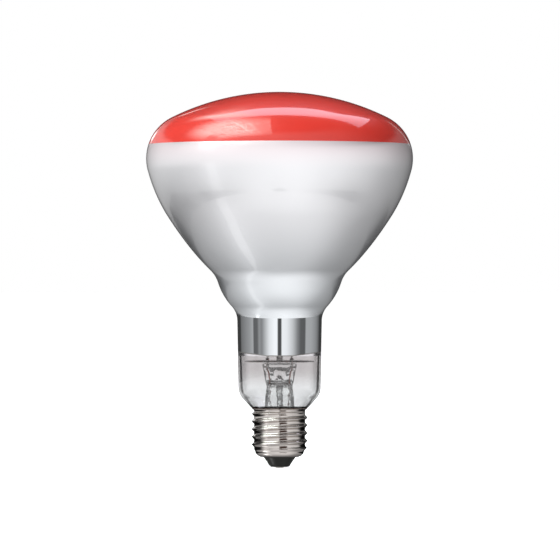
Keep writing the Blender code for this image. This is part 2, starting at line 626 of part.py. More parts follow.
def add_contact():
    """The brass plate in the insulator's face and the solder tip on it."""
    brass = principled("brass", (0.7, 0.52, 0.25), 0.3, metallic=1.0)
    tin = principled("solder", (0.62, 0.61, 0.6), 0.35, metallic=1.0)
    high = PLATE_Z + PLATE_THICKNESS
    eye = OUTER_LEAD_RADIUS + FIT_GAP
    plate = [(eye, PLATE_Z), (PLATE_RADIUS, PLATE_Z), (PLATE_RADIUS, high), (eye, high)]
    turned("contact_plate", plate, brass, segments=FINE_SEGMENTS)
    waist = 0.6 * SOLDER_RADIUS + 0.4 * SOLDER_FLAT_RADIUS
    solder = [
        (0.0, 0.0), (SOLDER_FLAT_RADIUS, 0.0), (waist, 0.3 * SOLDER_TOP_Z),
        (SOLDER_RADIUS, SOLDER_TOP_Z), (0.0, SOLDER_TOP_Z),
    ]
    turned("contact_solder", solder, tin, closed=False, segments=FINE_SEGMENTS)
    blob = bmesh.new()
    bmesh.ops.create_uvsphere(blob, u_segments=12, v_segments=8, radius=RIM_SOLDER_RADIUS)
    bmesh.ops.scale(blob, vec=(1.0, 1.6, 0.8), verts=blob.verts)
    rim_blob = add_mesh("rim_solder", blob, tin)
    reach = RIM_RADIUS + FIT_GAP + RIM_SOLDER_RADIUS
    height = CAP_HEIGHT - RIM_SOLDER_RADIUS - FIT_GAP / 2
    rim_blob.location = ring_point(RIM_SOLDER_ANGLE, reach, height)
    rim_blob.rotation_euler.z = math.radians(RIM_SOLDER_ANGLE)


def add_cement():
    """The ring that bonds the neck stub in the shell, with a gap that lets one lead by."""
    cement = principled("basing_cement", (0.5, 0.4, 0.3), 0.9)
    inner, outer = STUB_RADIUS + FIT_GAP, THREAD_ROOT - CAP_SHEET - FIT_GAP
    low, high = STUB_BOTTOM_Z, CAP_HEIGHT - CEMENT_BELOW_RIM
    section = [(inner, low), (outer, low), (outer, high), (inner, high)]
    rings = []
    for i in range(SEGMENTS + 1):
        turn = RIM_SOLDER_ANGLE + CEMENT_OPENING / 2 + (360 - CEMENT_OPENING) * i / SEGMENTS
        rings.append([ring_point(turn, r, z) for r, z in section])
    skinned("basing_cement", rings, cement)


def main():
    for obj in list(bpy.data.objects):
        bpy.data.objects.remove(obj)
    stem_glass = principled("stem_glass", (0.85, 0.87, 0.88), 0.05, transmission=1.0)
    add_envelope()
    add_reflector()
    add_red_filter()
    add_stem_flare(stem_glass)
    add_exhaust_tube(stem_glass)
    add_arbor(stem_glass)
    add_heat_shield()
    add_ferrules()
    add_seal_wires()
    add_inner_leads()
    add_outer_leads()
    add_supports()
    add_filament()
    add_cap_shell()
    add_insulator()
    add_contact()
    add_cement()


main()
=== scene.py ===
"""Looks of an infrared reflector heat lamp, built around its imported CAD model.

The lamp stands on its centre contact at the origin, +Z runs up its axis, and the wide face of the
stem's pinch looks along -Y, towards the camera. All sizes are in metres.
"""

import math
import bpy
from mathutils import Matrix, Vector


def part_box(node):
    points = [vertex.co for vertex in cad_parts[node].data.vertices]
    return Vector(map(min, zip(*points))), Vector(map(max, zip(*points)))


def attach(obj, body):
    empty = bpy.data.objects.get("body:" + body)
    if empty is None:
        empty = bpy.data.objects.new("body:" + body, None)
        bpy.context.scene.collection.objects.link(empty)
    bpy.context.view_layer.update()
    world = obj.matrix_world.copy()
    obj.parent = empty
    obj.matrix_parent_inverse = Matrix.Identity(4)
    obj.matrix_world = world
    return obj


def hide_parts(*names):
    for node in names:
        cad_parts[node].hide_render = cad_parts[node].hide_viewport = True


bl_info = {
    "name": "Infrared Reflector Lamp",
    "version": (1, 0, 0),
    "blender": (4, 5, 0),
    "location": "3D View > Sidebar > Lamp",
    "description": "Builds a red-fronted reflector lamp with its stem, filament and screw cap",
    "category": "Add Mesh",
}

import bmesh
import bpy
from bpy.props import FloatProperty, FloatVectorProperty, IntProperty, PointerProperty
from mathutils import Matrix, Vector

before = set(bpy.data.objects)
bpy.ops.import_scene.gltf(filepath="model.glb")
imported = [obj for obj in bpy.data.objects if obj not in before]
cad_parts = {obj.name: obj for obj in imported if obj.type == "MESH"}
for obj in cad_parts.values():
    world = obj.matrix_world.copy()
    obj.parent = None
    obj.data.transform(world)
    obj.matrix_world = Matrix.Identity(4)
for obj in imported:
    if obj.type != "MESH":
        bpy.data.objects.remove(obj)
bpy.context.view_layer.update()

MM = 0.001
ROUND = 128                  # segments round the large turned pieces
FINE = 48                    # segments round the small ones
HOOK_COUNT = 5               # supports of the filament, 60 degrees apart
COIL_RING = 14.0 * MM        # radius of the ring that the filament makes
COIL_OPENING = 44.0          # degrees of that ring left open between the leads
LEAD_ANGLE = 60.0            # where the rim lead is soldered, in degrees from +X

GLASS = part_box("glass_envelope")
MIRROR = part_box("reflector_coating")
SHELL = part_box("cap_shell")
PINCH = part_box("stem_flare")
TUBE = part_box("exhaust_tube")
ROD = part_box("arbor_rod")
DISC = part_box("heat_shield")
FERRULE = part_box("disc_ferrule_right")
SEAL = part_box("seal_wire_right")
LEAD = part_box("inner_lead_right")
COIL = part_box("filament")
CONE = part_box("cap_insulator")
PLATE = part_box("contact_plate")
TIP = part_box("contact_solder")
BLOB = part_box("rim_solder")
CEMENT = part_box("basing_cement")
CONTACT_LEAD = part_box("outer_lead_contact")


def linear(code):
    """An sRGB hex colour as linear red, green and blue."""
    shares = [int(code[i:i + 2], 16) / 255 for i in (0, 2, 4)]
    return tuple(s / 12.92 if s <= 0.04045 else ((s + 0.055) / 1.055) ** 2.4 for s in shares)


def length(name, description, default):
    return FloatProperty(name=name, description=description, default=default, min=0.0,
                         unit="LENGTH", precision=4)


def colour(name, description, code):
    return FloatVectorProperty(name=name, description=description, default=linear(code),
                               subtype="COLOR", size=3, min=0.0, max=1.0)


# --- what a user may change ---

class BulbSizes(bpy.types.PropertyGroup):
    """Outline of the blown bulb"""
    diameter: length("Diameter", "Largest diameter of the bowl", GLASS[1].x * 2)
    height: length("Height", "Contact tip to the middle of the front", GLASS[1].z)
    wall: length("Glass wall", "Thickness of the blown glass", 1.0 * MM)
    crown: length("Crown radius", "Radius of the spherical front", 113.0 * MM)
    shoulder: length("Shoulder radius", "Rounding between front and bowl", 21.5 * MM)
    focal: length("Bowl focal length", "Focal length of the paraboloid bowl", 16.8 * MM)
    heel: length("Heel radius", "Radius of the spherical heel under the bowl", 30.3 * MM)
    neck: length("Neck radius", "Radius of the neck under the heel", 19.8 * MM)
    mirror_edge: length("Mirror edge", "Height of the mirror's lower edge", MIRROR[0].z)
    front_edge: length("Front edge", "Height where the red front begins", MIRROR[1].z)


class FilamentSizes(bpy.types.PropertyGroup):
    """The coiled wire at the focus"""
    turns: IntProperty(name="Turns", description="Turns of the coil along its ring", default=118)
    wire: length("Wire radius", "Radius of the tungsten wire", 0.16 * MM)


class CapSizes(bpy.types.PropertyGroup):
    """The screw cap"""
    crest: length("Thread crest", "Radius over the crests", 13.05 * MM)
    root: length("Thread root", "Radius at the roots", 12.0 * MM)
    pitch: length("Thread pitch", "Rise of one turn", 3.629 * MM)
    sheet: length("Sheet", "Thickness of the shell", 0.3 * MM)


class LampColours(bpy.types.PropertyGroup):
    """Colours of the lamp's finishes"""
    red: colour("Red front", "Red of the front's filter layer", "CB352C")
    silver: colour("Silvering", "Aluminium seen through the glass", "EDEDF0")
    nickel: colour("Nickel", "Nickel plating of the cap", "C8C2BE")
    vitrite: colour("Black glass", "Insulator in the cap", "0E0F0A")
    cement: colour("Cement", "Cement between glass and cap", "4A2E22")


# --- meshes ---

def arc(centre_r, centre_z, radius, start, end, steps):
    """Points on an arc, with angles in degrees from +R towards +Z."""
    turns = [math.radians(start + (end - start) * i / steps) for i in range(steps + 1)]
    return [(centre_r + radius * math.cos(a), centre_z + radius * math.sin(a)) for a in turns]


def ring_point(angle, radius, z):
    """A point on a circle about the axis, with its angle in degrees from +X."""
    turn = math.radians(angle)
    return Vector((radius * math.cos(turn), radius * math.sin(turn), z))


def in_mm(base, *points, r=0.0):
    """Outline points in millimetres, counted from a base height and a radius in metres."""
    return [(r + x * MM, base + z * MM) for x, z in points]


def rows_in_mm(base, *rows):
    """Rows of half widths, squareness and height in millimetres, with heights from a base."""
    return [(x * MM, y * MM, power, base + z * MM) for x, y, power, z in rows]


def turned(outline, closed=True, segments=FINE):
    """Spin an outline about the axis. An open outline starts and ends on the axis."""
    bm = bmesh.new()
    verts = [bm.verts.new((r, 0.0, z)) for r, z in outline]
    pairs = list(zip(verts, verts[1:]))
    if closed:
        pairs.append((verts[-1], verts[0]))
    edges = [bm.edges.new(pair) for pair in pairs]
    bmesh.ops.spin(bm, geom=verts + edges, cent=(0, 0, 0), axis=(0, 0, 1), angle=math.tau,
                   steps=segments, use_merge=True)
    return bm


def weighted(weights, rows):
    """The weighted sum of rows of numbers."""
    return tuple(sum(w * value for w, value in zip(weights, column)) for column in zip(*rows))


def eased_share(share):
    """A share from 0 to 1 with a smooth start and end."""
    return share * share * (3 - 2 * share)


def finer(rows, steps):
    """Rows with eased steps put between them."""
    dense = []
    for i in range(len(rows) - 1):
        four = [rows[max(i - 1, 0)], rows[i], rows[i + 1], rows[min(i + 2, len(rows) - 1)]]
        for step in range(steps):
            t = step / steps
            weights = (-0.5 * t + t * t - 0.5 * t ** 3, 1 - 2.5 * t * t + 1.5 * t ** 3,
                       0.5 * t + 2 * t * t - 1.5 * t ** 3, -0.5 * t * t + 0.5 * t ** 3)
            dense.append(weighted(weights, four))
    return dense + [rows[-1]]


def pressed(rows):
    """Spin a stack of rings, then press each to its own half widths, squareness and height."""
    outline = [(1.0 + i, row[3]) for i, row in enumerate(rows)]
    outline = [(0.0, rows[0][3])] + outline + [(0.0, rows[-1][3])]
    bm = turned(outline, closed=False, segments=ROUND)
    for vert in bm.verts:
        reach = math.hypot(vert.co.x, vert.co.y)
        if reach > 0.5:
            half_x, half_y, power, z = rows[round(reach) - 1]
            c, s = vert.co.x / reach, vert.co.y / reach
            vert.co = (half_x * math.copysign(abs(c) ** power, c),
                       half_y * math.copysign(abs(s) ** power, s), z)
    return bm


def add_to_scene(name, data):
    """Put a mesh, curve, light or camera into the scene as an object."""
    item = bpy.data.objects.new(name, data)
    bpy.context.scene.collection.objects.link(item)
    return item


def add_object(name, bm, materials):
    """Put a bmesh into the scene as an object."""
    mesh = bpy.data.meshes.new(name)
    bm.to_mesh(mesh)
    bm.free()
    for material in materials:
        mesh.materials.append(material)
    return add_to_scene(name, mesh)


def add_piece(name, bm, materials, nodes, sharp=30.0):
    """Close a bmesh into a piece of the lamp that stands for its CAD nodes."""
    bmesh.ops.remove_doubles(bm, verts=bm.verts, dist=0.002 * MM)
    bmesh.ops.recalc_face_normals(bm, faces=bm.faces)
    piece = add_object(name, bm, materials)
    piece.data.shade_smooth()
    piece.data.set_sharp_from_angle(angle=math.radians(sharp))
    declare(piece, nodes)


def add_turned(name, outline, material, node, sharp=30.0, closed=True, segments=FINE):
    """Spin an outline into a piece that stands for one CAD node."""
    add_piece(name, turned(outline, closed, segments), [material], [node], sharp)


def declare(piece, nodes):
    """The piece rides with the lamp and hides the nodes it stands for."""
    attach(piece, "root")
    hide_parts(*nodes)


def add_wire(name, points, radius, material, nodes, smooth=True):
    """A round wire through the points, with filled ends."""
    curve = bpy.data.curves.new(name, "CURVE")
    curve.dimensions = "3D"
    curve.bevel_depth = radius
    curve.bevel_resolution = 3 if smooth else 1
    curve.use_fill_caps = True
    curve.resolution_u = curve.render_resolution_u = 12
    spline = curve.splines.new("BEZIER" if smooth else "POLY")
    knots = spline.bezier_points if smooth else spline.points
    knots.add(len(points) - 1)
    for knot, point in zip(knots, points):
        if smooth:
            knot.co = point
            knot.handle_left_type = knot.handle_right_type = "AUTO"
        else:
            knot.co = (*point, 1.0)
    spline.use_smooth = True
    curve.materials.append(material)
    declare(add_to_scene(name, curve), nodes)


# --- materials ---

def add_node(tree, kind, inputs=None, **settings):
    """Add a shader node. Each input is a value, or a socket of another node to link it to."""
    node = tree.nodes.new("ShaderNode" + kind)
    for name, value in settings.items():
        setattr(node, name, value)
    for name, value in (inputs or {}).items():
        if isinstance(value, bpy.types.NodeSocket):
            tree.links.new(value, node.inputs[name])
        else:
            node.inputs[name].default_value = value
    return node


def place(tree):
    """The piece's own coordinates, in metres."""
    return add_node(tree, "TexCoord").outputs["Object"]


def maths(tree, operation, *values):
    """The result of one Math node. Each value is a number or a socket."""
    return add_node(tree, "Math", dict(enumerate(values)), operation=operation).outputs[0]


def ranged(tree, value, low, high, start, end, easing="LINEAR"):
    """A value that runs from start to end while another runs from low to high."""
    limits = {"Value": value, "From Min": low, "From Max": high, "To Min": start, "To Max": end}
    return add_node(tree, "MapRange", limits, interpolation_type=easing).outputs["Result"]


def eased(tree, value, low, high, start=0.0, end=1.0):
    """The same, with a smooth start and end."""
    return ranged(tree, value, low, high, start, end, "SMOOTHSTEP")


def height_ramp(tree, low, high, start, end):
    """A value that runs smoothly from start to end between two heights."""
    height = add_node(tree, "SeparateXYZ", {"Vector": place(tree)}).outputs["Z"]
    return eased(tree, height, low, high, start, end)


def noise(tree, size, detail=2.0, stretch=(1.0, 1.0, 1.0)):
    """Noise whose blobs are about size across, in metres."""
    scaled = add_node(tree, "Mapping", {"Vector": place(tree), "Scale": stretch}).outputs[0]
    inputs = {"Vector": scaled, "Scale": 1 / size, "Detail": detail}
    return add_node(tree, "TexNoise", inputs).outputs["Fac"]


def patches(tree, low, high, *pattern):
    """Noise stretched between two limits."""
    return ranged(tree, noise(tree, *pattern), 0.3, 0.7, low, high)


def mixed_colour(tree, share, first, second, blend="MIX"):
    """Two colours mixed by a share. Each is a linear colour or a socket."""
    mix = add_node(tree, "Mix", {"Factor": share}, data_type="RGBA", blend_type=blend)
    for socket, value in ((mix.inputs[6], first), (mix.inputs[7], second)):
        if isinstance(value, bpy.types.NodeSocket):
            tree.links.new(value, socket)
        else:
            socket.default_value = (*value, 1.0)
    return mix.outputs[2]


def finish(name, rough=None, marks=None, skin="Normal", **sockets):
    """A Principled material and its shader. Words in the socket names are joined by underscores.

    rough is two limits of the roughness and the size of its patches. marks is the depth of the
    bumps on the skin and their size. Both sizes may be followed by the noise's detail and stretch.
    """
    material = bpy.data.materials.new(name)
    material.use_nodes = True
    tree = material.node_tree
    shader = tree.nodes["Principled BSDF"]
    for words, value in sockets.items():
        socket = shader.inputs[words.replace("_", " ")]
        socket.default_value = (*value, 1.0) if hasattr(value, "__len__") else value
    if rough:
        tree.links.new(patches(tree, *rough), shader.inputs["Roughness"])
    if marks:
        bumps = {"Height": noise(tree, *marks[1:]), "Strength": 1.0, "Distance": marks[0]}
        tree.links.new(add_node(tree, "Bump", bumps).outputs["Normal"], shader.inputs[skin])
    return material, tree, shader


def metal(name, code, *rough, marks=None):
    """A bare metal: its colour, the two limits of its roughness and the size of the patches."""
    return finish(name, rough, marks, Base_Color=linear(code), Metallic=1.0)[0]


def blown_soda_glass(edge):
    """Soda-lime glass, blown: clear, glossy, a trace of waviness, painted shade under the mirror."""
    material, tree, shader = finish("blown_soda_glass", marks=(0.03 * MM, 14 * MM), Roughness=0.0,
                                    IOR=1.5, Transmission_Weight=1.0)
    # painted shade: the glass turns a darker grey-pink towards the mirror's edge, standing for the
    # neck's shading
    painted_tint = height_ramp(tree, edge - 18 * MM, edge - 5 * MM, 0.0, 1.0)
    tint = mixed_colour(tree, painted_tint, (0.95, 0.96, 0.97), (0.77, 0.75, 0.755))
    tree.links.new(tint, shader.inputs["Base Color"])
    return material


def glass_over_aluminium(colours, sizes):
    """Vapour-deposited aluminium behind glass: satin on the etched bowl, bright on the neck."""
    material, tree, shader = finish(
        "glass_over_aluminium", marks=(0.05 * MM, 22 * MM), skin="Coat Normal", Metallic=1.0,
        Coat_Weight=1.0, Coat_Roughness=0.0, Coat_IOR=1.8)
    neck_top = sizes.mirror_edge + 18.1 * MM
    satin = height_ramp(tree, neck_top - 0.4 * MM, neck_top + 2.2 * MM, 0.03, 0.36)
    rough = maths(tree, "MULTIPLY", satin, patches(tree, 0.94, 1.06, 9 * MM))
    tree.links.new(rough, shader.inputs["Roughness"])
    # cooler low on the bowl; a painted pink glow, standing for red light from the front, reaches a
    # little below its edge
    warm = height_ramp(tree, neck_top, sizes.front_edge - 25 * MM, 0.0, 1.0)
    tint = mixed_colour(tree, warm, linear("E4E8EC"), colours.silver)
    painted_tint = height_ramp(tree, sizes.front_edge - 14 * MM, sizes.front_edge, 0.0, 0.22)
    tint = mixed_colour(tree, painted_tint, tint, linear("F3B4BE"))
    tree.links.new(tint, shader.inputs["Base Color"])
    return material


def thinned_aluminium():
    """The aluminium's last half millimetre, where it thins out and turns dark."""
    material, tree, shader = finish("thinned_aluminium", Metallic=1.0, Coat_Weight=1.0,
                                    Coat_Roughness=0.0)
    thin = patches(tree, 0.0, 1.0, 3 * MM)
    shade = mixed_colour(tree, thin, linear("77746F"), linear("A5A3A2"))
    tree.links.new(shade, shader.inputs["Base Color"])
    return material


def red_lacquered_glass(colours):
    """Blown glass with a baked red filter layer: glossy outside, half clear behind."""
    material, tree, shader = finish(
        "red_lacquered_glass", marks=(0.04 * MM, 25 * MM), skin="Coat Normal", Roughness=0.3,
        IOR=1.5, Specular_IOR_Level=0.1, Transmission_Weight=0.2, Coat_Weight=1.0,
        Coat_Roughness=0.0, Coat_IOR=1.5)
    cloud = patches(tree, 0.92, 1.04, 30 * MM)
    shade = mixed_colour(tree, 1.0, colours.red, cloud, "MULTIPLY")
    tree.links.new(shade, shader.inputs["Base Color"])
    return material


def lead_glass():
    """Lead glass of the stem: clear and slightly warmer, melted smooth."""
    return finish("lead_glass", marks=(0.3 * MM, 2.5 * MM), Base_Color=(0.96, 0.965, 0.96),
                  Roughness=0.0, IOR=1.56, Transmission_Weight=1.0)[0]


def nickel_plated_brass(colours):
    """Nickel-plated brass, rolled: bright, warm grey, with faint draw lines and dull patches."""
    return finish("nickel_plated_brass", (0.1, 0.17, 4 * MM, 4.0),
                  (0.012 * MM, 1.6 * MM, 3.0, (0.25, 0.25, 4.0)), Base_Color=colours.nickel,
                  Metallic=1.0)[0]


def black_vitrite(colours):
    """Black insulating glass, pressed: glossy skin with faint pressing marks."""
    return finish("black_vitrite", marks=(0.03 * MM, 1.2 * MM, 4.0), Base_Color=colours.vitrite,
                  Roughness=0.22, IOR=1.35)[0]


def tin_solder():
    """Tin solder, frozen from a drop: dull silver with a slightly rough skin."""
    return metal("tin_solder", "B9B6B0", 0.28, 0.5, 0.5 * MM, 4.0, marks=(0.03 * MM, 0.7 * MM, 3.0))


def basing_cement(colours):
    """Phenolic basing cement, baked: matt brown and grainy."""
    return finish("basing_cement", marks=(0.06 * MM, 0.4 * MM, 5.0), Base_Color=colours.cement,
                  Roughness=0.85)[0]


# --- the bulb ---

def blend(start, before, end, after, steps):
    """Points of a cubic curve between two outlines, without its ends."""
    reach = math.dist(start, end) / 3
    leave = [s + (s - b) * reach / math.dist(before, start) for s, b in zip(start, before)]
    arrive = [e - (a - e) * reach / math.dist(end, after) for e, a in zip(end, after)]
    points = []
    for i in range(1, steps):
        t = i / steps
        weights = ((1 - t) ** 3, 3 * t * (1 - t) ** 2, 3 * t * t * (1 - t), t ** 3)
        points.append(weighted(weights, (start, leave, arrive, end)))
    return points


def neck_outline():
    """The stub in the cap, its seat over the rim, the cone and the neck's lower corner."""
    stub_r, corner, cone, foot_r = 10.6 * MM, 8.0 * MM, 41.8, 19.25 * MM
    seat_r, seat_z = SHELL[1].x + 0.2 * MM, SHELL[1].z + 0.3 * MM
    slope = math.radians(cone)
    centre_r = foot_r - corner
    touch_r = centre_r + corner * math.cos(slope)
    touch_z = seat_z + (touch_r - seat_r) / math.tan(slope)
    stub = [(stub_r, GLASS[0].z)] + in_mm(seat_z, (0, -1), (0.4, -0.62), r=stub_r)
    stub += in_mm(seat_z, (-0.4, -0.14), (0, 0.05), r=seat_r)
    return stub + arc(centre_r, touch_z + corner * math.sin(slope), corner, -cone, 0, 12)


def heel_outline(sizes, focus, vertex):
    """The fillet out of the neck, the spherical heel and the soft kink under the bowl."""
    fillet, kink_width = 10.0 * MM, 2.6 * MM
    heel_z = focus + 2.3 * MM
    reach = sizes.heel + fillet
    touch = math.degrees(math.acos((sizes.neck + fillet) / reach))
    fillet_z = heel_z - math.sqrt(reach ** 2 - (sizes.neck + fillet) ** 2)
    half = heel_z - 2 * sizes.focal
    kink_z = half + math.sqrt(half ** 2 - heel_z ** 2 + sizes.heel ** 2 + 4 * sizes.focal * vertex)
    kink = math.degrees(math.asin((kink_z - heel_z) / sizes.heel)) - 6.0
    bowl_r = math.sqrt(4 * sizes.focal * (kink_z - vertex)) + kink_width
    lower = arc(sizes.neck + fillet, fillet_z, fillet, 180, 180 - touch, 12)
    return lower + arc(0, heel_z, sizes.heel, -touch, kink, 16)[1:], bowl_r


def envelope_outline(sizes):
    """The glass's outer outline, from the stub in the cap up to the middle of the front."""
    radius = sizes.diameter / 2
    crown_z = sizes.height - sizes.crown
    shoulder_r = radius - sizes.shoulder
    shoulder_z = crown_z + math.sqrt((sizes.crown - sizes.shoulder) ** 2 - shoulder_r ** 2)
    bowl_end_r, bowl_end_z = radius - 10.5 * MM, shoulder_z - 27.7 * MM
    vertex = bowl_end_z - bowl_end_r ** 2 / (4 * sizes.focal)
    heel, bowl_r = heel_outline(sizes, vertex + sizes.focal, vertex)
    steps = 28
    radii = [bowl_r + (bowl_end_r - bowl_r) * i / steps for i in range(steps + 1)]
    bowl = [(r, vertex + r * r / (4 * sizes.focal)) for r in radii]
    kink = blend(heel[-1], heel[-2], bowl[0], bowl[1], 10)
    touch = math.degrees(math.atan2(shoulder_z - crown_z, shoulder_r))
    shoulder = arc(shoulder_r, shoulder_z, sizes.shoulder, -17, touch, 28)
    bend = blend(bowl[-1], bowl[-2], shoulder[0], shoulder[1], 14)
    crown = arc(0, crown_z, sizes.crown, touch, 90, 24)[1:]
    crown[-1] = (0.0, sizes.height)
    return neck_outline() + heel + kink + bowl + bend + shoulder + crown


def inset(outline, wall, thicker=0.0):
    """The outline moved square to itself, towards the inside, and thicker low on the neck."""
    moved = []
    thin_from, thinning = 52 * MM, 8 * MM
    for i, (r, z) in enumerate(outline):
        depth = wall + thicker * min(max((thin_from - z) / thinning, 0.0), 1.0)
        before = outline[max(i - 1, 0)]
        after = outline[min(i + 1, len(outline) - 1)]
        along = Vector((after[0] - before[0], after[1] - before[1])).normalized()
        moved.append((r - along.y * depth, z + along.x * depth))
    if outline[-1][0] == 0.0:
        moved[-1] = (0.0, outline[-1][1] - depth)
    return moved


def between(outline, low, high):
    """The stretch of a rising outline between two heights, with a point on each."""
    def at(level):
        for (r0, z0), (r1, z1) in zip(outline, outline[1:]):
            if z0 <= level <= z1 and z1 > z0:
                return (r0 + (r1 - r0) * (level - z0) / (z1 - z0), level)
        return outline[-1]

    margin = 0.05 * MM
    middle = [p for p in outline if low + margin < p[1] < high - margin]
    return [at(low)] + middle + [at(high)]


def lift_edge(bm, edge):
    """Let the mirror's lower edge run up a little at both sides, as the vapour left it."""
    reach, lift, level_part = 9 * MM, 1.7 * MM, 0.3
    for vert in bm.verts:
        near = 1 - abs(vert.co.z - edge) / reach
        if near > 0:
            side = abs(vert.co.x) / math.hypot(vert.co.x, vert.co.y)
            vert.co.z += lift * near * max(side - level_part, 0) / (1 - level_part)


class LAMP_OT_bulb(bpy.types.Operator):
    """Blow the glass bulb, clear at the neck and silvered on the bowl"""
    bl_idname = "lamp.bulb"
    bl_label = "Glass Bulb"

    def execute(self, context):
        sizes, colours = context.scene.lamp_bulb, context.scene.lamp_colours
        outer = envelope_outline(sizes)
        inner = inset(outer, sizes.wall, 0.7 * MM)
        inner[0] = (inner[0][0], outer[0][1])
        edge, top = sizes.mirror_edge, sizes.front_edge
        fringe = edge + 0.45 * MM
        outside, inside = [between(side, side[0][1], edge) + between(side, edge, fringe)[1:]
                           + between(side, fringe, top)[1:] for side in (outer, inner)]
        bm = turned(outside + inside[::-1], segments=ROUND)
        for face in bm.faces:
            height = face.calc_center_median().z
            face.material_index = 0 if height < edge else 2 if height < fringe else 1
        lift_edge(bm, edge)
        materials = [blown_soda_glass(edge), glass_over_aluminium(colours, sizes),
                     thinned_aluminium()]
        add_piece("glass_bulb", bm, materials, ["glass_envelope"])
        return {"FINISHED"}


class LAMP_OT_mirror(bpy.types.Operator):
    """Lay the aluminium mirror inside the bowl and the upper neck"""
    bl_idname = "lamp.mirror"
    bl_label = "Mirror Layer"

    def execute(self, context):
        sizes = context.scene.lamp_bulb
        outer = envelope_outline(sizes)
        back, face = [between(inset(outer, sizes.wall + gap), sizes.mirror_edge, sizes.front_edge)
                      for gap in (0.05 * MM, 0.2 * MM)]
        aluminium = metal("vapour_aluminium", "E9E9EC", 0.14, 0.22, 12 * MM)
        add_turned("mirror_layer", back + face[::-1], aluminium,
                   "reflector_coating", segments=ROUND)
        return {"FINISHED"}


class LAMP_OT_front(bpy.types.Operator):
    """Close the bulb with its red front"""
    bl_idname = "lamp.front"
    bl_label = "Red Front"

    def execute(self, context):
        sizes = context.scene.lamp_bulb
        outer = envelope_outline(sizes)
        outside = between(outer, sizes.front_edge, sizes.height)
        inside = between(inset(outer, sizes.wall), sizes.front_edge, sizes.height - sizes.wall)
        red = red_lacquered_glass(context.scene.lamp_colours)
        add_turned("red_front", inside[::-1] + outside, red, "red_filter_coating",
                   closed=False, segments=ROUND)
        return {"FINISHED"}


# --- the stem ---

class LAMP_OT_stem(bpy.types.Operator):
    """Form the flare tube, its pinch and the thin exhaust tube"""
    bl_idname = "lamp.stem"
    bl_label = "Stem"

    def execute(self, context):
        glass = lead_glass()
        foot, top, lip_r, wall = PINCH[0].z, PINCH[1].z, PINCH[1].x, 1.3 * MM
        pinch_z = top - 8.9 * MM
        flare = [(lip_r, lip_r, 1.0, foot)]
        flare += rows_in_mm(foot, (8.4, 8.4, 1, 1.2), (7.7, 7.7, 1, 4), (6.9, 6.9, 1, 9))
        flare += rows_in_mm(pinch_z, (6.3, 6.2, 1, -3.4))
        inside = [(x - wall, y - wall, power, z) for x, y, power, z in flare]
        inside += rows_in_mm(pinch_z, (5, 4.2, 0.95, -1.9), (4.4, 2.4, 0.9, -0.9),
                             (3, 1, 0.9, -0.3))
        press = rows_in_mm(pinch_z, (6.15, 5.4, 0.95, -2), (6.3, 3.6, 0.8, -0.8),
                           (6.6, 2.6, 0.6, 0.2), (6.9, 2.3, 0.7, 1.6), (7.3, 2.3, 0.75, 4))
        press += rows_in_mm(top, (7.7, 2.5, 0.75, -2.6), (8, 2.7, 0.75, -1.5),
                            (8.1, 2.6, 0.75, -0.9), (7.7, 2.1, 0.75, -0.3), (6.7, 1.4, 0.75, 0))
        bm = pressed(finer(inside[::-1], 3) + finer(flare + press, 5))
        # marks of the pincers and the dimple blown through to the exhaust tube: their place
        # across and up the pinch, radius, and the share of the thickness pressed in
        marks = ((0.0, 1.0, 2.0, 0.6), (-3.6, 4.6, 1.5, 0.4), (3.7, 4.4, 1.4, 0.42),
                 (0.2, 5.2, 1.7, 0.22), (-6.0, 6.8, 1.2, 0.35), (6.1, 6.6, 1.2, 0.35),
                 (-4.4, 1.3, 1.0, 0.35), (4.5, 1.5, 1.0, 0.3))
        for vert in bm.verts:
            if vert.co.z > pinch_z - 1.2 * MM and abs(vert.co.y) > 1.2 * MM:
                for x, z, radius, depth in marks:
                    across, up = vert.co.x - x * MM, vert.co.z - pinch_z - z * MM
                    off = math.hypot(across, up) / (radius * MM)
                    if off < 2.0:
                        vert.co.y *= 1 - depth * math.exp(-off * off)
        add_piece("stem_press", bm, [glass], ["stem_flare"], sharp=60)
        low, high, tube_r = TUBE[0].z, TUBE[1].z, TUBE[1].x
        outline = in_mm(low, (0, 0), (0.35, 0.1), (0.8, 0.9))
        outline += in_mm(low, (-0.2, 2), (0, 3), r=tube_r)
        outline += in_mm(high, (0, -0.2), (-0.15, 0), (-0.4, 0), (-0.5, -0.2), r=tube_r)
        outline += in_mm(low, (-0.5, 3.2), r=tube_r) + in_mm(low, (0.5, 2), (0, 1.7))
        add_turned("exhaust_tube_glass", outline, glass, "exhaust_tube", closed=False)
        return {"FINISHED"}


class LAMP_OT_arbor(bpy.types.Operator):
    """Stand the glass rod with its button on the pinch"""
    bl_idname = "lamp.arbor"
    bl_label = "Arbor Rod"

    def execute(self, context):
        rod_r, button_r, top = 1.5 * MM, ROD[1].x, ROD[1].z
        join = math.degrees(math.acos(rod_r / button_r))
        button = arc(0, top - button_r, button_r, -join, 90, 18)
        button[-1] = (0.0, top)
        outline = in_mm(ROD[0].z, (0, 0), (1.9, 0), (1.5, 0.8)) + button
        add_turned("arbor_glass", outline, lead_glass(), "arbor_rod", 50, closed=False)
        return {"FINISHED"}


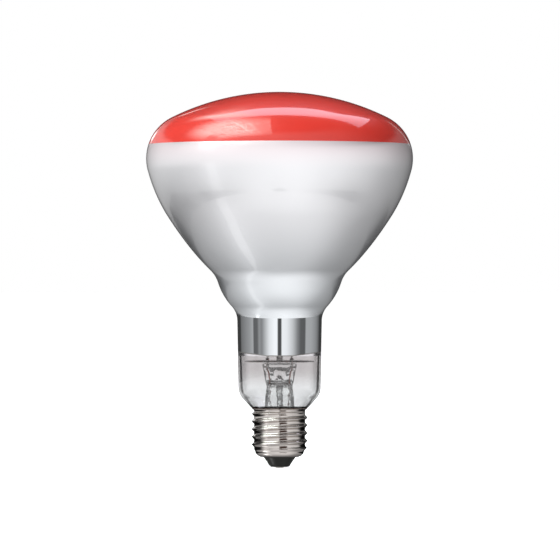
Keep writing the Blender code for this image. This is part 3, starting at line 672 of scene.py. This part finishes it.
class LAMP_OT_shield(bpy.types.Operator):
    """Set the heat shield across the neck, with its two ferrules"""
    bl_idname = "lamp.shield"
    bl_label = "Heat Shield"

    def execute(self, context):
        sheet = metal("bright_disc_metal", "B8B4B2", 0.2, 0.34, 3 * MM)
        low, high, radius = DISC[0].z, DISC[1].z, DISC[1].x
        rim = ((-1.6, 0), (-1.2, -0.1), (-0.1, 0))
        outline = in_mm(low, (1.8, 0)) + in_mm(low, *rim, r=radius)
        outline += [(radius, (low + high) / 2)] + in_mm(high, *rim[::-1], r=radius)
        outline += in_mm(high, (2.05, 0), (1.8, 0.05))
        add_turned("shield_disc", outline, sheet, "heat_shield", segments=ROUND)
        middle_x = (FERRULE[0].x + FERRULE[1].x) / 2
        outer = (FERRULE[1].x - FERRULE[0].x) / 2
        bottom, top = FERRULE[0].z, FERRULE[1].z
        for side, name in ((-1, "left"), (1, "right")):
            outline = in_mm(bottom, (0.6, 0))
            outline += in_mm(bottom, (-0.1, 0), (0, 0.15), (-0.25, 0.5), r=outer)
            outline += in_mm(top, (-0.3, -0.2), (-0.4, 0), r=outer) + in_mm(top, (0.6, 0))
            bm = turned(outline, segments=24)
            bmesh.ops.translate(bm, vec=(side * middle_x, 0, 0), verts=bm.verts)
            add_piece(f"ferrule_{name}", bm, [sheet], [f"disc_ferrule_{name}"])
        return {"FINISHED"}


class LAMP_OT_leads(bpy.types.Operator):
    """Run the leads: inner, sealed and outer"""
    bl_idname = "lamp.leads"
    bl_label = "Leads"

    def execute(self, context):
        grain = 0.6 * MM
        nickel = metal("nickel_wire", "B4B0AC", 0.24, 0.375, grain)
        dumet = metal("copper_clad_seal_wire", "7A4436", 0.28, 0.4375, grain)
        copper = metal("copper_lead", "5A4A46", 0.32, 0.5, grain)
        radius = 0.45 * MM
        x, seal_x = [(box[0].x + box[1].x) / 2 for box in (FERRULE, SEAL)]
        foot_x, foot = x * 1.02, PINCH[1].z - 1.6 * MM
        end_z, end_y = LEAD[1].z, LEAD[0].y + radius
        end_x = ring_point(-90 + COIL_OPENING / 2, COIL_RING, 0).x
        for side, name in ((-1, "left"), (1, "right")):
            points = [(side * foot_x, 0, foot), (side * x, 0, DISC[0].z),
                      (side * x, 0, DISC[1].z + 3.5 * MM),
                      (side * (x + 1.0 * MM), end_y / 2, (DISC[1].z + end_z) / 2),
                      (side * end_x, end_y, end_z - 6 * MM), (side * end_x, end_y, end_z)]
            add_wire(f"filament_lead_{name}", points, radius, nickel,
                     [f"inner_lead_{name}"])
            points = [(side * seal_x, 0, SEAL[0].z - 0.5 * MM),
                      (side * (seal_x + 0.5 * MM), 0, SEAL[0].z + 3.5 * MM),
                      (side * foot_x, 0, foot)]
            add_wire(f"pinch_wire_{name}", points, 0.34 * MM, dumet, [f"seal_wire_{name}"])
        top, rim_z, joint_r = CONTACT_LEAD[1].z, SHELL[1].z, 11.15 * MM
        outer_leads = {
            "contact": [(-2.6 * MM, 0, TUBE[0].z - 0.6 * MM), (0, 0, SHELL[0].z + 2.0 * MM),
                        (0, 0, CONTACT_LEAD[0].z)],
            "rim": [ring_point(LEAD_ANGLE / 2, 4.4 * MM, CEMENT[0].z),
                    ring_point(LEAD_ANGLE, 8.6 * MM, CEMENT[0].z - 1.5 * MM),
                    ring_point(LEAD_ANGLE, joint_r, CEMENT[0].z),
                    ring_point(LEAD_ANGLE, joint_r, CEMENT[1].z)]}
        for side, (name, ending) in zip((-1, 1), outer_leads.items()):
            points = [(side * 4.4 * MM, 0, top + 1.2 * MM), (side * 4.6 * MM, 0, top - 1.0 * MM),
                      (side * 3.7 * MM, 0, rim_z)] + ending
            add_wire(f"{name}_lead", points, 0.28 * MM, copper,
                     [f"outer_lead_{name}"])
        return {"FINISHED"}


class LAMP_OT_filament(bpy.types.Operator):
    """Wind the filament and hang it in its five hooks"""
    bl_idname = "lamp.filament"
    bl_label = "Filament and Hooks"

    def execute(self, context):
        sizes = context.scene.lamp_filament
        tungsten = metal("tungsten_wire", "6E6E70", 0.36, 0.5625, 0.6 * MM)
        molybdenum = metal("molybdenum_wire", "8F9093", 0.28, 0.4375, 0.6 * MM)
        centre_z = (COIL[0].z + COIL[1].z) / 2
        coil_r = (COIL[1].z - COIL[0].z) / 2 - sizes.wire
        per_turn = 10
        count = sizes.turns * per_turn
        points = []
        for i in range(count + 1):
            angle = -90 + COIL_OPENING / 2 + (360 - COIL_OPENING) * i / count
            twist = math.tau * i / per_turn
            radius = COIL_RING + coil_r * math.cos(twist)
            points.append(ring_point(angle, radius, centre_z + coil_r * math.sin(twist)))
        add_wire("coiled_filament", points, sizes.wire, tungsten, ["filament"],
                 smooth=False)
        button_r, button_z = ROD[1].x, ROD[1].z - ROD[1].x
        under_coil = centre_z - coil_r
        path = [(button_r - 0.6 * MM, button_z)] + in_mm(button_z, (6.5, 0.2), (11, 1.6))
        path += in_mm(under_coil, (13.4, -0.5), (15, -0.1)) + in_mm(centre_z, (15.3, 0.4))
        for number in range(1, HOOK_COUNT + 1):
            hook = [ring_point(-90 + 60 * number, r, z) for r, z in path]
            add_wire(f"filament_hook_{number}", hook, 0.2 * MM, molybdenum,
                     [f"support_wire_{number}"])
        return {"FINISHED"}


# --- the cap ---

def thread_lift(sizes, angle, z):
    """How far the rolled thread stands out at one point of the shell."""
    bottom, top, fade, phase_z = SHELL[0].z + 3.4 * MM, SHELL[1].z - 1.3 * MM, 1.2 * MM, 1.8 * MM
    rise = min((z - bottom) / fade, (top - z) / fade, 1.0)
    if rise <= 0:
        return 0.0
    wave = 0.5 + 0.5 * math.cos(math.tau * (z - phase_z) / sizes.pitch - angle)
    narrow = 1.9                     # narrows the crests and widens the roots
    return (sizes.crest - sizes.root) * wave ** narrow * eased_share(rise)


class LAMP_OT_cap(bpy.types.Operator):
    """Roll the threaded shell"""
    bl_idname = "lamp.cap"
    bl_label = "Cap Shell"

    def execute(self, context):
        sizes = context.scene.lamp_cap
        mouth_r, bottom, rim_z, rim_r = 7.7 * MM, SHELL[0].z, SHELL[1].z, 13.2 * MM
        crease_r, crease_z = 11.45 * MM, bottom + 2.75 * MM
        wide, high = crease_r - mouth_r, crease_z - bottom
        outline = [(mouth_r + wide * r, crease_z + high * z) for r, z in arc(0, 0, 1, -90, 0, 18)]
        outline += in_mm(crease_z, (0.12, 0.12), (0.3, 0.5), r=crease_r)
        base, top, rows = crease_z + 0.8 * MM, rim_z - 1.2 * MM, 120
        outline += [(sizes.root, base + (top - base) * i / rows) for i in range(rows + 1)]
        collar = sizes.root + 0.2 * MM
        outline += in_mm(top, (-0.05, 0.15), r=collar)
        outline += in_mm(rim_z, (0, -0.75), (0.3, -0.4), r=collar)
        outline += in_mm(rim_z, (-0.15, -0.2), (0, -0.1), (-0.02, 0), r=rim_r)
        inner = inset(outline, sizes.sheet)
        inner[0] = (mouth_r, bottom + sizes.sheet)
        inner[-1] = (rim_r - sizes.sheet, rim_z)
        bm = turned(outline + inner[::-1], segments=144)
        for vert in bm.verts:
            radius = math.hypot(vert.co.x, vert.co.y)
            lift = thread_lift(sizes, math.atan2(vert.co.y, vert.co.x), vert.co.z)
            vert.co.x *= 1 + lift / radius
            vert.co.y *= 1 + lift / radius
        plated = nickel_plated_brass(context.scene.lamp_colours)
        add_piece("threaded_shell", bm, [plated], ["cap_shell"], 50)
        return {"FINISHED"}


class LAMP_OT_contact(bpy.types.Operator):
    """Press the black glass and set the contact plate and the solder"""
    bl_idname = "lamp.contact"
    bl_label = "Insulator and Contact"

    def execute(self, context):
        face_z, mouth, top = CONE[0].z, SHELL[0].z, CONE[1].z
        outline = in_mm(face_z, (3.5, 0.02), (3.7, 0))
        outline += arc(4.1 * MM, face_z + 0.35 * MM, 0.35 * MM, -90, -35, 4)
        outline += in_mm(0, (4.85, 1.05), (5.28, 1.6), (5.84, 2.6), (6.56, 3.6), (7.25, 4.6))
        outline += in_mm(mouth, (7.4, -0.1), (7.4, 0.6), (9.9, 3.2), (11.2, 3.4))
        outline += in_mm(top, (11.2, 0), (9.9, 0)) + in_mm(mouth, (6.3, 1), (1.2, 1))
        outline += in_mm(PLATE[1].z, (1.2, 0.1), (3.5, 0.1))
        black = black_vitrite(context.scene.lamp_colours)
        add_turned("insulator_glass", outline, black, "cap_insulator", 40, segments=96)
        radius, low, high = PLATE[1].x, PLATE[0].z, PLATE[1].z
        outline = in_mm(low, (0.55, 0)) + in_mm(low, (-0.1, 0), (0, 0.1), r=radius)
        outline += [(radius, high)] + in_mm(high, (0.55, 0))
        brass = metal("stamped_brass", "C9A45C", 0.22, 0.34, 1 * MM)
        add_turned("contact_disc", outline, brass, "contact_plate")
        tin = tin_solder()
        radius, height, flat = TIP[1].x, TIP[1].z, 1.1 * MM
        drop = [(0.0, 0.0)] + [(flat + (radius - flat) * r, height * (1 + z))
                               for r, z in arc(0, 0, 1, -90, 0, 10)]
        drop += [(radius - 0.3 * MM, PLATE[0].z), (0.0, PLATE[0].z)]
        add_turned("solder_tip", drop, tin, "contact_solder", 50, closed=False)
        bm = bmesh.new()
        bmesh.ops.create_uvsphere(bm, u_segments=32, v_segments=20, radius=1.0)
        middle, half = (BLOB[0] + BLOB[1]) / 2, 0.8 * MM
        bmesh.ops.scale(bm, vec=(half, half * 1.6, half * 0.8), verts=bm.verts)
        bmesh.ops.rotate(bm, cent=(0, 0, 0), verts=bm.verts,
                         matrix=Matrix.Rotation(math.radians(LEAD_ANGLE), 3, "Z"))
        bmesh.ops.translate(bm, vec=middle, verts=bm.verts)
        add_piece("rim_solder_drop", bm, [tin], ["rim_solder"], 60)
        return {"FINISHED"}


class LAMP_OT_cement(bpy.types.Operator):
    """Fill the joint between the glass and the cap"""
    bl_idname = "lamp.cement"
    bl_label = "Basing Cement"

    def execute(self, context):
        outline = in_mm(CEMENT[0].z, (10.75, 0), (11.4, 0))
        outline += in_mm(SHELL[1].z, (11.5, -2.4), (11.9, -0.8), (12.6, -0.1), (13, 0.02),
                         (13.05, 0.2), (12.9, 0.3), (12.4, 0.02), (11.2, -0.4), (10.75, -0.9))
        cement = basing_cement(context.scene.lamp_colours)
        add_turned("cement_ring", outline, cement, "basing_cement", 50,
                   segments=ROUND)
        return {"FINISHED"}


# --- the studio ---

LAMP_MIDDLE = 0.09           # height that the studio's elevations are counted from
BRIGHTEST = 2.5              # light level that white stands for in the grey ramps
NECK_RADIUS = 19.6 * MM      # mean radius of the neck, which reflects the ring round it

# light level against azimuth in degrees: round the neck, on the floor, at and above eye height,
# overhead, and behind the lamp as seen through its glass
WALLS = ((-180, 0.04), (-136, 0.05), (-130, 0.18), (-110, 0.27), (-92, 0.36), (-78, 0.47), (-76, 0.14),
         (-64, 0.15), (-58, 0.34), (-50, 0.27), (-40, 0.55), (-28, 0.93), (-14, 1.12), (-6.5, 1.12),
         (-4.2, 0.09), (4.2, 0.09), (6.5, 1.06), (20, 0.98), (36, 0.66), (50, 0.28), (60, 0.13),
         (74, 0.12), (78, 0.46), (96, 0.44), (118, 0.3), (134, 0.14), (140, 0.05), (180, 0.04))
FLOOR = ((-180, 0.06), (-166, 0.1), (-154, 0.26), (-125, 0.43), (-95, 0.64), (-60, 0.89), (-30, 1.0),
         (0, 1.11), (15, 1.15), (30, 1.1), (60, 0.99), (92, 0.64), (112, 0.39), (128, 0.32),
         (146, 0.27), (157, 0.24), (167, 0.12), (180, 0.06))
UPPER = ((-180, 0.02), (-168, 0.04), (-160, 0.4), (-125, 0.92), (-95, 0.98), (-60, 1.05), (-20, 1.1),
         (20, 1.15), (60, 1.0), (92, 0.78), (120, 0.44), (154, 0.16), (166, 0.04), (180, 0.02))
HIGH = ((-180, 0.02), (-100, 0.08), (-86, 0.22), (-60, 0.6), (-30, 0.8), (0, 0.85), (36, 0.78),
        (70, 0.45), (90, 0.2), (110, 0.05), (180, 0.02))
THROUGH = ((-180, 0.85), (-158, 0.85), (-156, 0.03), (-118, 0.05), (-110, 1.3), (110, 1.3),
           (118, 0.05), (156, 0.03), (158, 0.85), (180, 0.85))


def within_reach(tree, nearest, farthest):
    """1 for a ray whose length lies between two distances, else 0."""
    path = add_node(tree, "LightPath").outputs["Ray Length"]
    return maths(tree, "MULTIPLY", maths(tree, "GREATER_THAN", path, nearest),
                 maths(tree, "LESS_THAN", path, farthest))


def add_panel(name, bm, light_of, near_only):
    """A glowing panel that the camera doesn't see and that casts no shadow.

    light_of makes, in the panel's node tree, the share of it that glows, and its light. A panel
    that is near_only shows in reflections alone.
    """
    material = bpy.data.materials.new(name)
    material.use_nodes = True
    tree = material.node_tree
    tree.nodes.clear()
    share, light, strength = light_of(tree)
    light = add_node(tree, "Emission", {"Color": light, "Strength": strength})
    clear = add_node(tree, "BsdfTransparent")
    mix = add_node(tree, "MixShader", {0: share, 1: clear.outputs[0], 2: light.outputs[0]})
    add_node(tree, "OutputMaterial", {"Surface": mix.outputs[0]})
    panel = add_object(name, bm, [material])
    panel.visible_camera = panel.visible_shadow = False
    panel.visible_diffuse = panel.visible_transmission = not near_only


def add_card(name, near, far, strength, soft=(0, 0, 0, 0), tint=(1, 1, 1), reach=None):
    """A curved panel between two long edges, near and far, each given as points.

    soft is the share of the panel over which the start, the end, the near edge and the far edge
    fade out. With a reach, only reflections no longer than that see it.
    """
    def along(points, share):
        at = min(share * (len(points) - 1), len(points) - 1.000001)
        start, end = Vector(points[int(at)]), Vector(points[int(at) + 1])
        return start.lerp(end, at - int(at))

    def light_of(tree):
        share = add_node(tree, "Attribute", attribute_name="glow").outputs["Fac"]
        if reach:
            share = maths(tree, "MULTIPLY", share, within_reach(tree, 0.0, reach))
        return share, (*tint, 1.0), strength

    bm = bmesh.new()
    bmesh.ops.create_grid(bm, x_segments=48, y_segments=24, size=0.5)
    glow = bm.verts.layers.float.new("glow")
    for vert in bm.verts:
        u, v = vert.co.x + 0.5, vert.co.y + 0.5
        level = 1.0
        for distance, width in zip((u, 1 - u, v, 1 - v), soft):
            if width:
                level *= eased_share(min(distance / width, 1.0))
        vert[glow] = level
        vert.co = along(near, u).lerp(along(far, u), v)
    add_panel(name, bm, light_of, bool(reach))


def around(azimuths, radius, z):
    """Points on a level circle, their azimuths in degrees from -Y towards +X."""
    return [ring_point(azimuth - 90, radius, z) for azimuth in azimuths]


def towards(azimuth, elevation, distance=1.4):
    """A point at a distance from the lamp's middle."""
    e = math.radians(elevation)
    return around([azimuth], distance * math.cos(e), LAMP_MIDDLE + distance * math.sin(e))[0]


def across(near, far):
    """Both long edges of a panel, from their points' azimuths and elevations."""
    return [[towards(*point) for point in edge] for edge in (near, far)]


def grey_ramp(tree, turn, stops):
    """A light level against a share of a turn, in straight runs between its stops."""
    ramp = add_node(tree, "ValToRGB", {"Fac": turn})
    elements = ramp.color_ramp.elements
    for i, (azimuth, level) in enumerate(stops):
        element = elements[i] if i < len(elements) else elements.new(1.0)
        element.position = (azimuth + 180) / 360
        element.color = (*[level / BRIGHTEST] * 3, 1.0)
    return ramp.outputs["Color"]


def turn_of(tree, vector):
    """The azimuth of a point or a direction, as a share of a full turn that starts behind."""
    split = add_node(tree, "SeparateXYZ", {"Vector": vector}).outputs
    turn = maths(tree, "ARCTAN2", split["X"], maths(tree, "MULTIPLY", split["Y"], -1.0))
    return maths(tree, "ADD", maths(tree, "DIVIDE", turn, math.tau), 0.5)


def add_surround(radius, low, high):
    """A ring of light and dark walls round the neck, seen only in reflections from the neck."""
    stops = []
    for azimuth, level in WALLS:
        shift = math.asin(NECK_RADIUS / radius * math.sin(math.radians(azimuth / 2)))
        stops.append((azimuth - math.degrees(shift) if abs(azimuth) < 180 else azimuth, level))

    def light_of(tree):
        point = add_node(tree, "NewGeometry").outputs["Position"]
        share = within_reach(tree, radius - 1.25 * NECK_RADIUS, radius)
        return share, grey_ramp(tree, turn_of(tree, point), stops), BRIGHTEST

    bm = bmesh.new()
    bmesh.ops.create_cone(bm, cap_ends=False, segments=96, radius1=radius, radius2=radius,
                          depth=high - low)
    bmesh.ops.translate(bm, verts=bm.verts, vec=(0, 0, (low + high) / 2))
    add_panel("surround", bm, light_of, True)


def white_room():
    """A world that shows plain white, and lights with the light and dark sides of a studio."""
    world = bpy.data.worlds.new("white_room")
    world.use_nodes = True
    tree = world.node_tree
    direction = add_node(tree, "TexCoord").outputs["Generated"]
    height = add_node(tree, "SeparateXYZ", {"Vector": direction}).outputs["Z"]
    rise = maths(tree, "MULTIPLY", maths(tree, "ARCSINE", height), 180 / math.pi)
    floor, upper, high, through = [grey_ramp(tree, turn_of(tree, direction), stops)
                                   for stops in (FLOOR, UPPER, HIGH, THROUGH)]
    under_lamp, ceiling = [(level / BRIGHTEST,) * 3 for level in (0.58, 0.06)]
    # each pair of limits is an elevation in degrees between which one part runs into the next
    floor = mixed_colour(tree, eased(tree, rise, -50, -84), floor, under_lamp)
    high = mixed_colour(tree, eased(tree, rise, 50, 66), high, ceiling)
    upper = mixed_colour(tree, eased(tree, rise, 19, 25), upper, high)
    room = mixed_colour(tree, eased(tree, rise, -23, -4), floor, upper)
    path = add_node(tree, "LightPath").outputs
    level = maths(tree, "MULTIPLY", eased(tree, rise, -16, -11), eased(tree, rise, 16, 11))
    seen_through = maths(tree, "MULTIPLY", path["Is Transmission Ray"], level)
    room = mixed_colour(tree, seen_through, room, through)
    lit = add_node(tree, "Background", {"Color": room, "Strength": BRIGHTEST})
    plain = add_node(tree, "Background", {"Color": (1, 1, 1, 1), "Strength": 1.0})
    seen = path["Is Camera Ray"]
    mix = add_node(tree, "MixShader", {0: seen, 1: lit.outputs[0], 2: plain.outputs[0]})
    tree.links.new(mix.outputs[0], tree.nodes["World Output"].inputs["Surface"])
    return world


def add_floor():
    """A white floor for the camera alone, see-through from below."""
    bm = bmesh.new()
    bmesh.ops.create_circle(bm, cap_ends=True, segments=96, radius=30.0)
    material, tree, shader = finish("white_floor", Base_Color=(0.8, 0.8, 0.8), Roughness=0.9,
                                    Emission_Color=(1, 1, 1), Emission_Strength=0.8)
    underside = add_node(tree, "NewGeometry").outputs["Backfacing"]
    clear = add_node(tree, "BsdfTransparent").outputs[0]
    mix = add_node(tree, "MixShader", {0: underside, 1: shader.outputs[0], 2: clear})
    tree.links.new(mix.outputs[0], tree.nodes["Material Output"].inputs["Surface"])
    floor = add_object("floor", bm, [material])
    floor.visible_glossy = floor.visible_diffuse = False
    floor.visible_transmission = floor.visible_shadow = False


def overhead(points):
    """Points of a level panel 1.5 m over the front, as slopes from just before its middle."""
    rise = 1.5
    return [(x * rise, y * rise - 0.03, 0.16 + rise) for x, y in points]


def add_overhead_panels():
    """The banks above the lamp, which the red front and the shoulder reflect."""
    add_card("rear_bank", overhead([(-0.504, 0.236), (0.0, 0.596), (0.836, 0.325)]),
             overhead([(-0.434, 1.072), (0.0, 1.03), (0.6, 1.275)]), 2.4, tint=(0.84, 0.82, 0.97))
    key_tint = (0.88, 0.98, 0.93)
    add_card("key_light", overhead([(-1.9, -0.85), (-0.12, -0.85)]),
             overhead([(-1.9, 0.6), (-0.05, 0.6)]), 14.5, soft=(0.95, 0.25, 0.35, 0.5),
             tint=key_tint)
    add_card("key_edge", overhead([(-0.9, -0.85), (-0.12, -0.85)]),
             overhead([(-0.9, 0.5), (-0.05, 0.5)]), 3.2, soft=(0.6, 0, 0.2, 0.4), tint=key_tint)


def add_side_panels():
    """The narrow lights round the lamp, which the bowl and the neck reflect."""
    add_card("rear_glow", *across(((-138, 36), (-174, 36)), ((-138, 66), (-174, 66))), 3.2,
             soft=(0.5, 0.45, 0.45, 0.45), tint=(0.9, 0.95, 0.9))
    streak = ((-62, -9), (-63.2, -22), (-68, -40), (-77.5, -56), (-86, -65), (-101, -70.5))
    add_card("strip_light", *across(*[[(a + half / math.cos(math.radians(e)), e) for a, e in streak]
                                      for half in (-5, 5)]), 1.3, soft=(0.05, 0, 0.1, 0.03))
    add_card("strip_top", *across(((-75, 12), (-78, 50)), ((-62, 12), (-64, 50))), 1.6,
             soft=(0.3, 0.3, 0.1, 0.1))
    add_card("hot_spot", *across(((-165, 9), (-165, 16)), ((-156, 9), (-156, 16))), 3.2,
             soft=(0.4, 0.4, 0.4, 0.4))
    for side, points in (("left", ((-158, 9), (-162, 15), (-169, 20), (-171, 28))),
                         ("right", ((161, 6), (156, 13), (156, 20), (163, 27)))):
        edges = across(*[[(a + half, e) for a, e in points] for half in (-0.8, 0.8)])
        add_card(f"edge_strip_{side}", *edges, 1.6, soft=(0.2, 0.3, 0.3, 0.3))


def add_cap_flags():
    """Low flags close to the cap, seen only by its thread, and a glow under the black glass."""
    radius, low, high, reach = 0.032, -0.004, 0.0235, 0.042
    for name, start, end, code, soft in (("left", -140, -54, "050505", (0, 0.35)),
                                         ("right", 74, 140, "050505", (0.35, 0)),
                                         ("front", -2, 31, "54443E", (0.1, 0.2))):
        turns = [start + (end - start) * i / 12 for i in range(13)]
        add_card(f"cap_flag_{name}", around(turns, radius, low), around(turns, radius, high), 1.0,
                 tint=linear(code), reach=reach, soft=(*soft, 0.1, 0.1))
    turns = (-98, -82, -66)
    add_card("tip_glow", around(turns, 0.03, -0.013), around(turns, 0.03, -0.038), 3.0,
             soft=(0.3, 0.3, 0.2, 0.3), reach=0.06)


def add_wash():
    """A soft light for matt surfaces only."""
    light = bpy.data.lights.new("wash", "AREA")
    light.size = 1.2
    light.energy = 10.0
    wash = add_to_scene("wash", light)
    wash.location = (-0.6, -1.0, 1.0)
    aim = Vector((0, 0, 0.12)) - wash.location
    wash.rotation_euler = aim.to_track_quat("-Z", "Y").to_euler()
    wash.visible_glossy = wash.visible_camera = wash.visible_transmission = False


def add_camera():
    """A long lens in front of the lamp, level with its middle."""
    lens = bpy.data.cameras.new("camera")
    lens.lens = 300.0
    lens.sensor_width = 36.0
    lens.clip_end = 50.0
    camera = add_to_scene("camera", lens)
    camera.location = (0.0002, -2.186, 0.08795)
    camera.rotation_euler = (math.radians(90), 0, 0)
    bpy.context.scene.camera = camera


class LAMP_OT_studio(bpy.types.Operator):
    """Set the floor, the lights and the camera"""
    bl_idname = "lamp.studio"
    bl_label = "Studio"

    def execute(self, context):
        scene = context.scene
        scene.view_settings.view_transform = "Standard"
        for kind in ("max_bounces", "transmission_bounces", "transparent_max_bounces"):
            setattr(scene.cycles, kind, 32)
        scene.world = white_room()
        add_floor()
        add_overhead_panels()
        add_side_panels()
        add_surround(radius=0.15, low=0.035, high=0.0835)
        add_cap_flags()
        add_wash()
        add_camera()
        return {"FINISHED"}


# --- the add-on ---

OPERATORS = (LAMP_OT_bulb, LAMP_OT_mirror, LAMP_OT_front, LAMP_OT_stem, LAMP_OT_arbor,
             LAMP_OT_shield, LAMP_OT_leads, LAMP_OT_filament, LAMP_OT_cap, LAMP_OT_contact,
             LAMP_OT_cement, LAMP_OT_studio)
GROUPS = {"lamp_bulb": BulbSizes, "lamp_filament": FilamentSizes, "lamp_cap": CapSizes,
          "lamp_colours": LampColours}


class LAMP_PT_panel(bpy.types.Panel):
    """Lists the lamp's sizes, colours and pieces"""
    bl_label = "Infrared Lamp"
    bl_idname = "LAMP_PT_panel"
    bl_space_type = "VIEW_3D"
    bl_region_type = "UI"
    bl_category = "Lamp"

    def draw(self, context):
        for name, group in GROUPS.items():
            values = getattr(context.scene, name)
            for key in group.__annotations__:
                self.layout.prop(values, key)
        for operator in OPERATORS:
            self.layout.operator(operator.bl_idname)


def register():
    for cls in (*GROUPS.values(), *OPERATORS, LAMP_PT_panel):
        bpy.utils.register_class(cls)
    for name, group in GROUPS.items():
        setattr(bpy.types.Scene, name, PointerProperty(type=group))


def unregister():
    for name in GROUPS:
        delattr(bpy.types.Scene, name)
    for cls in reversed((*GROUPS.values(), *OPERATORS, LAMP_PT_panel)):
        bpy.utils.unregister_class(cls)


def main():
    register()
    for operator in OPERATORS:
        family, name = operator.bl_idname.split(".")
        getattr(getattr(bpy.ops, family), name)()


if __name__ == "__main__":
    main()
